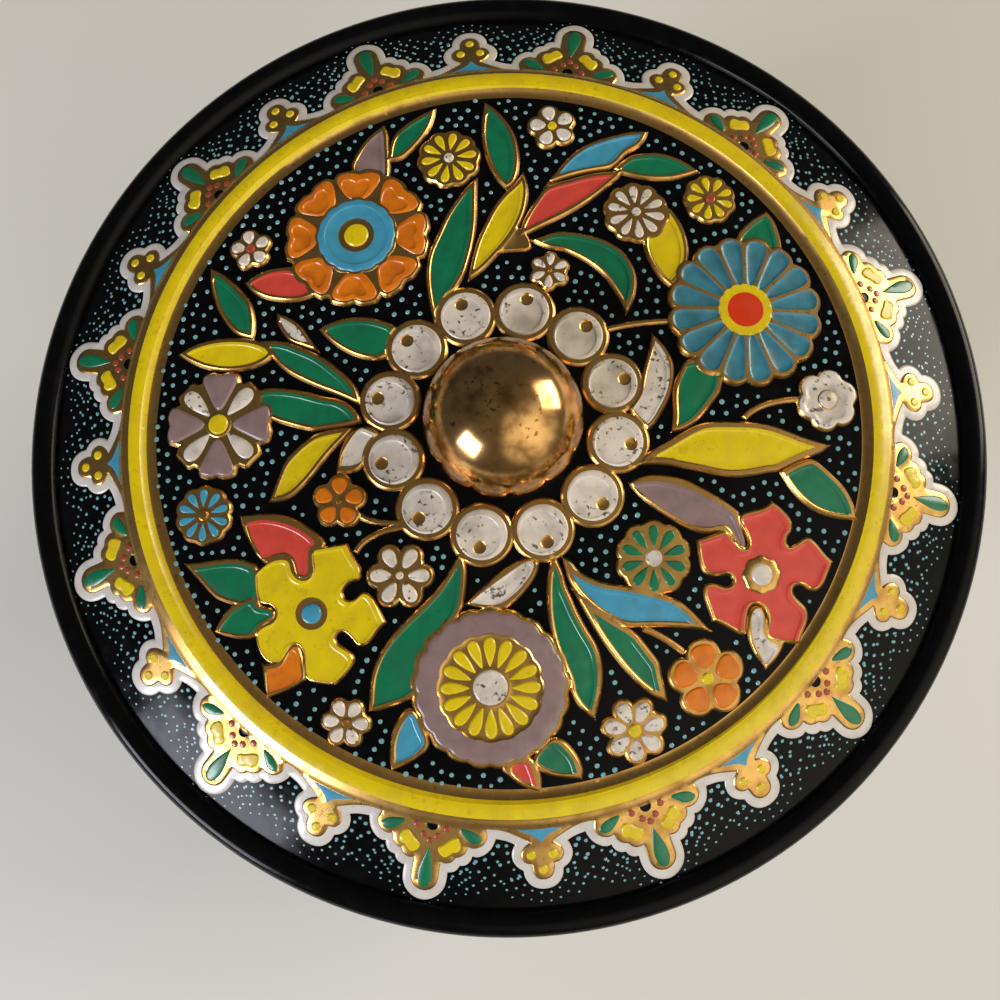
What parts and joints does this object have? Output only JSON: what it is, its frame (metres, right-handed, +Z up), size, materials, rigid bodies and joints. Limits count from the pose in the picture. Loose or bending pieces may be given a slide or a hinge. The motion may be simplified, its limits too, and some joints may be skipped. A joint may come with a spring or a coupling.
{
  "type": "tin canister",
  "caption": "Round tinplate canister with a shallow domed lift-off lid pressed with flowers and leaves, a scalloped border and a brass ball knob.",
  "frame": {"origin": "middle of the underside, on the floor", "axes": "+Z up along the canister's axis; +Y to the far side of the lid's pattern, as the picture's top; +X to the right"},
  "size_m": [0.127, 0.127, 0.1411],
  "materials": {
    "black_enamel": "glossy black enamel on tinplate, with coloured enamels and gold lines on the lid",
    "tinplate": "bare tinplate, satin",
    "brass": "polished, slightly worn"
  },
  "bodies": {
    "root": {"body_wall": "black_enamel", "base": "tinplate", "lid": "black_enamel", "knob": "brass"}
  },
  "joints": []
}
